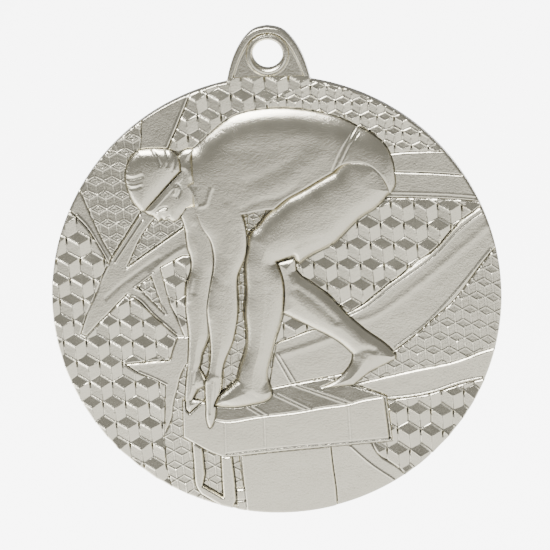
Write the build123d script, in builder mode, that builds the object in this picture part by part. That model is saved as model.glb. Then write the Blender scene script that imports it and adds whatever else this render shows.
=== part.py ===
"""Sports finisher medal with a swimmer on a starting block, millimetres.

Frame: the origin is the ribbon hole's centre on the back face. The medal hangs in the XZ plane with
its front towards -Y and +Z up. The front's art is drawn about the disc's centre, for a disc of
art_diameter, and grows with the disc.
"""

import os

from build123d import *

os.makedirs("parts", exist_ok=True)

# overall sizes
disc_diameter = 50.0
disc_thickness = 1.9  # to the tops of the large cubes
art_diameter = 50.0  # the size the art's coordinates are for

# the blank that every raised region stands on
blank_thickness = 1.3
back_recess_diameter = 25.0
back_recess_depth = 0.3

# hanging loop
hole_radius = 1.65
hole_height = 27.55  # above the disc's centre, in the art
hole_wall = 1.0  # straight wall from the back, the rest of the thickness flares out
hole_mouth_radius = 2.05
hole_border = 0.35
loop_base = 25.1  # where the loop's foot line lies, in the art
loop_field_depth = 0.25

# heights of the raised regions over the back face
fine_level = 1.85
plain_level = 1.75
panel_level = 1.65
block_top_level = 2.0
block_front_level = 2.2
pillar_level = 1.95
handle_level = 2.2
far_arm_level = 2.3
rear_leg_level = 2.4
head_level = 2.5
torso_level = 2.7
trunks_level = 2.75
near_level = 2.8
cap_level = 2.8

# large cubes: a lattice of lozenges, the cubes' sunk tops
cube_step = Vector(2.598, -0.144)
cube_row = Vector(1.3915, -2.439)
cube_anchor = Vector(-19.84, -9.06)
cube_half_width = 1.05
cube_half_height = 0.62
cube_depth = 0.25

scale = disc_diameter / art_diameter
disc_radius = disc_diameter / 2
disc_centre_z = -hole_height * scale
back = Plane(origin=(0, 0, disc_centre_z), x_dir=(1, 0, 0), z_dir=(0, -1, 0))


def level_plane(level):
    """The art's plane at a height over the back face."""
    return Plane(origin=(0, -level, disc_centre_z), x_dir=(1, 0, 0), z_dir=(0, -1, 0))


def draw(runs):
    """A closed outline. Each run goes on from the last one, straight for one point, else smooth."""
    start = Vector(*runs[0][0]) * scale
    here = start
    for number, run in enumerate(runs):
        way = [Vector(*point) * scale for point in run]
        if number == 0:
            way = way[1:]
        if not way:
            continue
        if len(way) == 1:
            Line(here, way[0])
        else:
            Spline(here, *way)
        here = way[-1]
    if (here - start).length > 0.001:
        Line(here, start)


taken = []


def region(runs):
    """The part of an outline inside the medal that no region before it has taken."""
    with BuildSketch() as flat:
        with BuildLine():
            draw(runs)
        make_face()
        add(ground, mode=Mode.INTERSECT)
        box = flat.sketch.bounding_box()
        for other in taken:
            away = other.bounding_box()
            apart_x = away.min.X > box.max.X or box.min.X > away.max.X
            apart_y = away.min.Y > box.max.Y or box.min.Y > away.max.Y
            if not (apart_x or apart_y):
                add(other, mode=Mode.SUBTRACT)
    kept = flat.sketch_local
    taken.append(kept)
    return kept


def pieces_of(sketch, smallest=0.02):
    """The faces of a sketch that are more than a sliver."""
    return [face for face in sketch.faces() if face.area > smallest]


def relief(label, faces, level):
    """A raised region: its faces from the blank's front up to its own height."""
    with BuildPart() as raised:
        with BuildSketch(level_plane(blank_thickness)):
            add(faces)
        extrude(amount=level - blank_thickness)
    raised.part.label = label
    export_step(raised.part, f"parts/{label}.step")
    return raised


def cubes(label, face):
    """A raised region with the large cubes' lozenge tops sunk into it."""
    box = face.bounding_box()
    spots = []
    for row in range(-14, 15):
        for column in range(-22, 23):
            spot = (cube_anchor + cube_step * column + cube_row * row) * scale
            if box.min.X < spot.X < box.max.X and box.min.Y < spot.Y < box.max.Y:
                spots.append(spot)
    with BuildPart() as raised:
        with BuildSketch(level_plane(blank_thickness)):
            add(face)
        extrude(amount=disc_thickness - blank_thickness)
        with BuildSketch(level_plane(disc_thickness)):
            with Locations(*spots):
                Polygon(
                    (-cube_half_width * scale, 0),
                    (0, cube_half_height * scale),
                    (cube_half_width * scale, 0),
                    (0, -cube_half_height * scale),
                    align=None,
                )
        extrude(amount=-cube_depth, mode=Mode.SUBTRACT)
    raised.part.label = label
    export_step(raised.part, f"parts/{label}.step")
    return raised


# ---- outlines, disc-centred, X right and Z up, for a disc of art_diameter ----

loop_line = [
    [(-4.65, 24.4), (-3.9, 27.0), (-2.75, 29.1), (-1.4, 30.3), (0, 30.6)],
    [(1.4, 30.3), (2.75, 29.1), (3.9, 27.0), (4.65, 24.4)],
]

loop_field_line = [
    [(-3.85, 25.55), (-3.3, 26.9), (-2.3, 28.75), (-1.15, 29.8), (0, 30.05)],
    [(1.15, 29.8), (2.3, 28.75), (3.3, 26.9), (3.85, 25.55)],
]

cap_line = [
    [(-14.67, 17.33), (-15.6, 16.5), (-16.15, 15.4), (-16.35, 14.2), (-16.1, 12.7), (-15.6, 11.4), (-14.8, 10.4)],
    [(-14.35, 10.35)],
    [(-10.1, 14.7)],
    [(-10.1, 15.4), (-10.4, 16.4), (-10.9, 16.95), (-12, 17.3), (-13.4, 17.4), (-14.67, 17.33)],
]
head_line = [
    [(-14.35, 10.35), (-13.9, 9.95), (-13.45, 9.8)],
    [(-12.85, 9.1)],
    [(-12.45, 9.45)],
    [(-12.15, 9.2), (-11.75, 9.4)],
    [(-11.25, 9.05), (-10.75, 9.15), (-10.3, 9.7)],
    [(-9.7, 10.0)],
    [(-8.6, 10.8)],
    [(-7.6, 14)],
    [(-8.8, 16)],
    [(-8.7, 17.15)],
    [(-9.7, 17.05), (-10.4, 16.4)],
    [(-11.5, 15)],
]
near_arm_line = [
    [(-9.5, 13.1), (-8.8, 12), (-8.7, 11.1), (-8.4, 9.7), (-7.9, 8.3), (-7.2, 7.2), (-6.85, 6), (-6.85, 3.6)]
    + [(-7.2, 2), (-7.5, 0.4), (-7.7, -0.7), (-7.55, -3.4), (-7.45, -4.8), (-7.55, -7.2), (-7.8, -8.5)],
    [(-8.15, -9.4)],
    [(-8.2, -11), (-8.15, -12.5), (-8.1, -14.2), (-7.8, -14.8), (-7.4, -14.2), (-7.1, -12.8)],
    [(-7, -11.8), (-6.5, -10.4), (-6.3, -8.8), (-5.9, -7), (-5.1, -5.2), (-4.55, -3.1), (-4.3, -1.2)]
    + [(-4.3, 1.2), (-4.1, 3), (-3.36, 4.6), (-3.1, 6), (-3.1, 7), (-3.3, 8.7), (-3.7, 10.1)],
    [(-5, 11.9), (-6.7, 12.9), (-8.6, 13.4), (-9.5, 13.1)],
]
far_arm_line = [
    [(-10.3, 9.5), (-9.95, 8.3), (-9.7, 6), (-9.4, 4.8), (-9.4, 3.4), (-9.9, 1.9), (-10.1, 0.2), (-10.1, -1.4)]
    + [(-9.9, -3.4), (-9.95, -6), (-10.1, -7.8), (-10.4, -10.2), (-10.5, -11.9), (-10.35, -12.8), (-10, -13.15)],
    [(-8.5, -11.75)],
    [(-9.6, -11.5)],
    [(-9, -10.4)],
    [(-8.15, -10)],
    [(-8.15, -9.2)],
    [(-8.75, -7.9)],
    [(-8.5, -7.1), (-8.4, -6.4), (-8, -5.4), (-7.5, -4.2)],
    [(-6.5, 4)],
    [(-7, 11)],
    [(-9.7, 10.6)],
]
trunks_line = [
    [(9.7, 19.05), (11, 18.4), (11.9, 17.7), (12.7, 16.9), (13.3, 15.7), (13.6, 14.5), (13.7, 13.3), (13.65, 12.2)]
    + [(13.1, 11.4)],
    [(12.85, 12.3), (12.3, 13.4), (11.5, 14.3), (10.4, 15), (9.1, 15.15), (7.8, 14.9), (6.9, 14.25)],
    [(7.8, 16.1), (8.9, 17.9), (9.7, 19.05)],
]
near_leg_line = [
    [(8.6, 16)],
    [(6.9, 14.2)],
    [(5, 13.2), (3, 12.1), (1.7, 11.45), (0.6, 10.65), (-1, 9.2), (-2, 8.1), (-2.8, 7.3)]
    + [(-3.05, 6), (-3.36, 4.4), (-3.42, 0.85), (-3.6, -1.2), (-3.5, -4.4), (-3.7, -6), (-4.3, -7.8), (-4.7, -9.4)],
    [(-6.2, -10.6), (-6.95, -11.3), (-7.35, -12.3)],
    [(-5.2, -12.6), (-2.8, -12.3), (-1.6, -12), (-0.9, -11.4), (-0.85, -10.8)],
    [(-1.2, -9.6), (-1.1, -8), (-0.7, -6.6), (-0.2, -4.8), (0.4, -3.1), (0.8, -1.4), (1.0, 0.4), (0.85, 2.4)]
    + [(0.35, 3.9)],
    [(1.1, 4.15), (2, 4.4)],
    [(2.7, 3.75)],
    [(3.5, 4.35), (5.4, 5.3), (6.7, 6), (7.5, 6.7), (9, 8.15), (10.1, 9), (11.3, 9.7), (12.3, 10.6), (13.2, 11.6)],
    [(12.4, 15.5)],
]
rear_leg_line = [
    [(0, 4.2)],
    [(2.3, 4.5)],
    [(2.3, 3)],
    [(2.8, 2.4), (4, 1.5), (5.2, 0.55), (6.4, -0.65), (7.5, -2), (8.8, -3.3), (10, -4.4), (11.2, -5.3), (12.2, -6.2)]
    + [(12.95, -7.1)],
    [(12.9, -7.55)],
    [(11.6, -8.2), (10, -9), (9.2, -9.6), (8.2, -10.4)],
    [(4.6, -10.65)],
    [(5.7, -10.2), (6.6, -9.6), (7.5, -8.7), (8.1, -7.7), (8.25, -6.8)],
    [(7.1, -5.6), (5.7, -4.6), (4.25, -3.8)],
    [(0.6, -1.8)],
    [(0.5, 2)],
]
torso_line = [
    [(-8.75, 17.1), (-7.5, 18.2), (-6.2, 19.25), (-5, 20.15), (-3.6, 20.85), (-2, 21.2), (0, 21.4), (2, 21.35)]
    + [(4, 21.1), (5.5, 20.8), (7, 20.4), (8.6, 19.7), (9.7, 19.05)],
    [(9, 15)],
    [(6.9, 14)],
    [(0.6, 10.2)],
    [(-0.7, 10.2)],
    [(-3.6, 9.75)],
    [(-5, 10.5)],
    [(-8.9, 12.9)],
    [(-8.8, 16)],
]
block_top_line = [
    [(-7.6, -13.85), (-5.9, -14.2), (-4, -14), (-1.8, -13.7), (2, -13.35), (5, -12.9), (7.6, -12.6), (9, -12.25)]
    + [(11.7, -11.85)],
    [(8.1, -10.6)],
    [(5.2, -9.6)],
    [(2.6, -10), (1.2, -10.2), (-1, -10.6)],
    [(-4, -11)],
    [(-6.5, -11)],
    [(-7.4, -11.2)],
    [(-7.9, -12)],
]
block_front_line = [
    [(-10.7, -11.6)],
    [(-10.75, -15.85)],
    [(-9, -17), (-7.4, -17.9), (-6.3, -18.35)],
    [(-5.7, -18.3), (-1.6, -17.95), (2, -17.7), (5, -17.5), (12.2, -17.0)],
    [(11.7, -11.85)],
    [(7.6, -12.4)],
    [(-1.8, -13.4)],
    [(-7, -13.4)],
    [(-8.3, -11.9)],
]
pillar_line = [
    [(-4.7, -18)],
    [(-4.35, -22.1)],
    [(-5.2, -22.1)],
    [(-5.3, -25)],
    [(6.1, -25)],
    [(5.9, -22.5), (5.6, -20), (5.4, -17.3)],
]
handle_line = [
    [(-9.9, -16.2)],
    [(-9.8, -20.2), (-9.65, -21.8), (-9.2, -22.55)],
    [(-7.1, -23.9)],
    [(-5.8, -24.25)],
    [(-5.3, -23.4)],
    [(-5.3, -21.4)],
    [(-5.55, -18)],
    [(-6.75, -17.6)],
    [(-6.75, -22.9)],
    [(-8.9, -21.5)],
    [(-8.6, -20.2)],
    [(-8.75, -16.8)],
]
right_panel_line = [
    [(5, -17.2)],
    [(5.6, -25)],
    [(14, -21.5)],
    [(13.6, -20.6)],
    [(12.8, -20), (11, -18.9), (9.8, -17.1)],
]
knee_panel_line = [
    [(-0.25, -5.35)],
    [(4.25, -3.8)],
    [(9, -6)],
    [(8, -9)],
    [(5.2, -9.5)],
    [(2.6, -9.9)],
    [(-1.3, -10.7)],
]
upper_band_line = [
    [(-14.3, 22.6)],
    [(-14.1, 20.7)],
    [(-14.5, 17.4)],
    [(-13.5, 16)],
    [(-11.5, 16.5)],
    [(-11.5, 17.3)],
    [(-8.7, 23.3)],
    [(-8.5, 24.5)],
]
upper_left_line = [
    [(-14.25, 22)],
    [(-14.1, 20.7)],
    [(-14.5, 17.4)],
    [(-15.9, 14)],
    [(-14.6, 10.6)],
    [(-15, 10)],
    [(-18.15, 5.3)],
    [(-19.1, 7), (-20, 9.2), (-20.9, 11.8), (-21.4, 13.6)],
    [(-22.5, 15)],
]
rim_band_line = [
    [(-22.9, 11.4)],
    [(-21.9, 10), (-20.8, 8.6), (-20.1, 7.4), (-19.3, 5.9), (-18.6, 4.4)],
    [(-18.15, 5.3)],
    [(-18.5, 9)],
    [(-21.3, 14)],
]
chin_line = [
    [(-16.5, 4.05)],
    [(-9.5, 8.75)],
    [(-10.1, 10)],
    [(-13.2, 10)],
    [(-13.3, 9.4)],
    [(-14.8, 7.5), (-16, 5.1), (-16.5, 4.05)],
]
chin_sliver_line = [
    [(-15.5, 1.75)],
    [(-13.9, 2.9)],
    [(-13.3, 1), (-12.5, -1.5)],
]
small_cubes_line = [
    [(-12.8, 3.8)],
    [(-10.3, 5.05)],
    [(-9, 5)],
    [(-9, -4)],
    [(-10.3, -4.35)],
    [(-11, -2.4), (-11.8, -0.4), (-12.3, 1.5), (-12.8, 3.8)],
]
left_band_line = [
    [(-18.6, 4.4)],
    [(-19.5, 2.5), (-20, 1.2), (-20.6, 0), (-21.4, -1.9), (-21.95, -3.5)],
    [(-21.3, -3.8)],
    [(-19.4, -1.9), (-18.4, -0.9), (-16.6, 0.9)],
    [(-15.5, 0.2), (-14, -1.4), (-12.5, -2.9), (-11.1, -4.25)],
    [(-9, -4.3)],
    [(-9, 9)],
    [(-13, 10.5)],
    [(-14.7, 10.5)],
    [(-15, 10)],
    [(-18.15, 5.3)],
]
wedge_line = [
    [(-17.15, -7.15)],
    [(-12, -6.85)],
    [(-11.6, -5.4)],
    [(-11.1, -4.25)],
    [(-9.5, -4.3)],
    [(-9.8, -7)],
    [(-10.3, -7.6)],
    [(-10.85, -8.6), (-11.3, -10.2), (-11.8, -12), (-12.05, -13.7), (-12.9, -15.4)],
    [(-12.65, -9.85)],
    [(-14, -9), (-15.5, -8.3), (-17.15, -7.15)],
]
lower_left_line = [
    [(-10.3, -7.6)],
    [(-10.85, -8.6), (-11.3, -10.2), (-11.8, -12), (-12.05, -13.7), (-12.9, -15.4)],
    [(-12.9, -19), (-12.4, -22.5)],
    [(-4.3, -25)],
    [(-4.3, -17)],
    [(-9.5, -15)],
    [(-9.5, -9)],
]
hand_gap_line = [
    [(-7.4, -4)],
    [(-8.9, -4)],
    [(-9.8, -12.2)],
    [(-8.1, -12)],
    [(-7.6, -9)],
]
shin_gap_line = [
    [(-3.2, 8)],
    [(-4.5, 3)],
    [(-7.2, -10.9)],
    [(-4.3, -10.4)],
    [(-3.2, -5)],
]
thigh_gap_line = [
    [(-3.8, 10)],
    [(-0.5, 10.4)],
    [(-1.5, 8)],
    [(-3.4, 6.5)],
]
upper_right_line = [
    [(-0.3, 21)],
    [(-0.3, 22)],
    [(5.2, 24.5)],
    [(5.3, 26)],
    [(20, 22)],
    [(20, 16.25)],
    [(14.5, 15.95)],
    [(12.5, 15.7)],
    [(8, 18)],
]
hip_upper_line = [
    [(12.5, 15.7)],
    [(14.5, 15.95)],
    [(20, 16.25)],
    [(22, 13.35)],
    [(13, 13.7)],
]
hip_lower_line = [
    [(13, 13.7)],
    [(22, 13.35)],
    [(24, 10.4)],
    [(12.6, 10.85)],
]
curved_band_line = [
    [(7.2, -2.4)],
    [(10, -0.9), (12, 0.7), (14, 2.1), (16, 3.6), (18, 5.1), (20, 7.3), (22, 9.2), (23.2, 10.2)],
    [(26, 8)],
    [(24.7, 5.6)],
    [(23, 3.3), (21, 0.6), (19.5, -1.2), (17.2, -3.2), (14.1, -5.8), (12.4, -7)],
    [(9.5, -4.5)],
]
right_fine_line = [
    [(24.7, 5.6)],
    [(23, 3.3), (21, 0.6), (19.5, -1.2), (17.2, -3.2), (14.1, -5.8), (12.4, -7)],
    [(10, -8)],
    [(7.5, -10)],
    [(8.2, -10.4)],
    [(12, -9.6), (16, -8.8), (20, -7.9), (22, -7.1), (25, -6)],
    [(26, 0)],
]
lower_right_band_line = [
    [(25, -6)],
    [(22, -7.1), (20, -7.9), (16, -8.8), (12, -9.6), (8.2, -10.4)],
    [(11.7, -11.85)],
    [(11.75, -12.4)],
    [(14, -12.2), (17.2, -11.6), (19.5, -10.85), (24, -9.6)],
]

# ---- the ground that the art fills: the disc and the foot of the loop ----

with BuildSketch() as loop_whole:
    with BuildLine():
        draw(loop_line)
    make_face()

with BuildSketch() as ground_sketch:
    Circle(disc_radius)
    add(loop_whole.sketch_local)
    with Locations((0, (loop_base + 5) * scale)):
        Rectangle(disc_diameter, 10 * scale, mode=Mode.SUBTRACT)
ground = ground_sketch.sketch_local

with BuildPart() as medal_blank:
    with BuildSketch(back):
        add(ground)
    extrude(amount=blank_thickness)
    with BuildSketch(back):
        Circle(back_recess_diameter / 2)
    extrude(amount=back_recess_depth, mode=Mode.SUBTRACT)
medal_blank.part.label = "medal_blank"
export_step(medal_blank.part, "parts/medal_blank.step")

# ---- the hanging loop: a bordered plate with a flared hole ----

with BuildPart() as hanging_loop:
    with BuildSketch(back):
        add(loop_whole.sketch_local)
        with Locations((0, (loop_base - 5) * scale)):
            Rectangle(disc_diameter, 10 * scale, mode=Mode.SUBTRACT)
    extrude(amount=disc_thickness)
    with BuildSketch(level_plane(disc_thickness)):
        with BuildLine():
            draw(loop_field_line)
        make_face()
        with Locations((0, hole_height * scale)):
            Circle(hole_mouth_radius + hole_border, mode=Mode.SUBTRACT)
    extrude(amount=-loop_field_depth, mode=Mode.SUBTRACT)
    with BuildSketch(back):
        with Locations((0, hole_height * scale)):
            Circle(hole_radius)
    extrude(amount=disc_thickness, mode=Mode.SUBTRACT)
    with BuildSketch(level_plane(disc_thickness)):
        with Locations((0, hole_height * scale)):
            Circle(hole_mouth_radius)
    with BuildSketch(level_plane(hole_wall)):
        with Locations((0, hole_height * scale)):
            Circle(hole_radius)
    loft(mode=Mode.SUBTRACT)
hanging_loop.part.label = "hanging_loop"
export_step(hanging_loop.part, "parts/hanging_loop.step")

# ---- the swimmer, nearest pieces first ----

trunks = relief("swimmer_trunks", region(trunks_line), trunks_level)
near_leg = relief("swimmer_near_leg", region(near_leg_line), near_level)
near_arm = relief("swimmer_near_arm", region(near_arm_line), near_level)
cap = relief("swimmer_cap", region(cap_line), cap_level)
torso = relief("swimmer_torso", region(torso_line), torso_level)
far_arm = relief("swimmer_far_arm", region(far_arm_line), far_arm_level)
head = relief("swimmer_head", region(head_line), head_level)
rear_leg = relief("swimmer_rear_leg", region(rear_leg_line), rear_leg_level)

# ---- the starting block ----

block_top = relief("block_top", region(block_top_line), block_top_level)
block_front = relief("block_front", region(block_front_line), block_front_level)
step_handle = relief("step_handle", region(handle_line), handle_level)
block_pillar = relief("block_pillar", region(pillar_line), pillar_level)

# ---- fields of fine cubes ----

hand_gap = region(hand_gap_line)
shin_gap = region(shin_gap_line)
thigh_gap = region(thigh_gap_line)
gaps = pieces_of(hand_gap) + pieces_of(shin_gap) + pieces_of(thigh_gap)
fine_gaps = relief("fine_cubes_gaps", gaps, fine_level)
fine_lower_left = relief("fine_cubes_lower_left", pieces_of(region(lower_left_line)), fine_level)
fine_chin = relief("fine_cubes_chin", pieces_of(region(chin_line)), fine_level)
fine_sliver = relief("fine_cubes_wedge", pieces_of(region(chin_sliver_line)), fine_level)
fine_upper_left = relief("fine_cubes_upper_left", pieces_of(region(upper_left_line)), fine_level)
fine_upper_right = relief("fine_cubes_upper_right", pieces_of(region(upper_right_line)), fine_level)
fine_right = relief("fine_cubes_right", pieces_of(region(right_fine_line)), fine_level)

# ---- plain bands and panels ----

right_panel = relief("panel_right", pieces_of(region(right_panel_line)), panel_level)
knee_panel = relief("panel_under_knee", pieces_of(region(knee_panel_line)), panel_level)
small_cubes = region(small_cubes_line)
upper_band = relief("band_upper", pieces_of(region(upper_band_line)), plain_level)
rim_band = relief("band_rim", pieces_of(region(rim_band_line)), plain_level)
left_band = relief("band_left", pieces_of(region(left_band_line)), plain_level)
wedge = relief("band_wedge", pieces_of(region(wedge_line)), plain_level)
hip_upper = relief("band_hip_upper", pieces_of(region(hip_upper_line)), plain_level)
hip_lower = relief("band_hip_lower", pieces_of(region(hip_lower_line)), plain_level)
curved_band = relief("band_curved", pieces_of(region(curved_band_line)), plain_level)
lower_right_band = relief("band_lower_right", pieces_of(region(lower_right_band_line)), plain_level)

# ---- fields of large cubes: all that is left ----

with BuildSketch() as left_over:
    add(ground)
    for other in taken:
        add(other, mode=Mode.SUBTRACT)
fields = [("cubes_beside_arm", pieces_of(small_cubes)[0])]
seeds = {
    "cubes_left": (-19, -9),
    "cubes_top": (-5, 22),
    "cubes_right": (12, 6),
    "cubes_lower_right": (16, -15),
    "cubes_between_legs": (1.5, -3.7),
}
for label, seed in seeds.items():
    spot = Vector(*seed) * scale
    near = [face for face in pieces_of(left_over.sketch_local) if face.is_inside(Vector(spot.X, spot.Y, 0))]
    fields.append((label, near[0]))
for label, face in fields:
    cubes(label, face)
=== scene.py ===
"""Looks of a sports finisher medal: a swimmer on a starting block over a ground of cubes.

The art is drawn in the plane of the medal's front, in millimetres from the disc's centre, X right
and Z up. Each piece is a height over the back face as a function of X and Z, cut at its outline.
The medal hangs with its front towards -Y and the ribbon hole's centre at the origin.
"""

import math
from functools import partial

import bpy
import numpy as np
from bpy.props import FloatProperty, FloatVectorProperty, PointerProperty
from mathutils import Euler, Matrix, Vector
from mathutils.geometry import tessellate_polygon


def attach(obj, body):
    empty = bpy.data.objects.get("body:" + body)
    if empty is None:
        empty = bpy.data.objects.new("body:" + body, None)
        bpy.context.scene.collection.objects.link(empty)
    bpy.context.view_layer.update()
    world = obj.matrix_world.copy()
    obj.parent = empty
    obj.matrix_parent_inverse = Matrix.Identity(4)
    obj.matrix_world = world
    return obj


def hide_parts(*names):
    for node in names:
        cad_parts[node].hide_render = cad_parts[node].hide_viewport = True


bl_info = {
    "name": "Sports Medal Builder",
    "version": (1, 0, 0),
    "blender": (4, 5, 0),
    "location": "3D View > Sidebar > Medal",
    "description": "Builds the detailed pieces of a hanging sports medal over its CAD frame",
    "category": "Add Mesh",
}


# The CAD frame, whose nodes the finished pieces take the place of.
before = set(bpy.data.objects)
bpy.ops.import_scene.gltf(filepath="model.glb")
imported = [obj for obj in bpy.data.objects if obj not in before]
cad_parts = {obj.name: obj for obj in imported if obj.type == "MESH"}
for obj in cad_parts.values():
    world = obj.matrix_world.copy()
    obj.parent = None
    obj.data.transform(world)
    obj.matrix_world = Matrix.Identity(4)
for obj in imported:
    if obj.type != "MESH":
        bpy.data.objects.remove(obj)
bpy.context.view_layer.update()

# Sizes in millimetres. Heights are above the back face.
MM = 0.001
DISC_RADIUS = 25.0
HOLE_HEIGHT = 27.55  # the ribbon hole's centre above the disc's
HOLE_RADIUS = 1.65
LOOP_BASE = 25.1  # where the loop takes over from the disc
LOOP_FRONT = 1.9
BLANK_FRONT = 1.3
GROUND = 1.72
FAR = 0.3  # distances to outlines are worked out this far
MOAT = 0.12  # the groove where two pieces meet, and how wide it is
MOAT_WIDTH = 0.08
# The large cubes' grid: the step from a cube to the next one in its row, and to the row below.
CUBE_STEP = (2.598, -0.144)
CUBE_ROW = (1.3915, -2.439)

# Lines that two outlines share.
BACK = [
    (-8.75, 17.1), (-7.5, 18.2), (-6.2, 19.25), (-5, 20.15), (-3.6, 20.85), (-2, 21.2), (0, 21.4),
    (2, 21.35), (4, 21.1), (5.5, 20.8), (7, 20.4), (8.6, 19.7), (9.7, 19.05),
]
SEAT = [
    (11, 18.4), (11.9, 17.7), (12.7, 16.9), (13.3, 15.7), (13.6, 14.5), (13.7, 13.3), (13.65, 12.2),
]
LEFT_EDGE = [(-10.85, -8.6), (-11.3, -10.2), (-11.8, -12), (-12.05, -13.7), (-12.9, -15.4)]
FIELD_EDGE = [(23, 3.3), (21, 0.6), (19.5, -1.2), (17.2, -3.2), (14.1, -5.8), (12.4, -7)]

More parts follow.
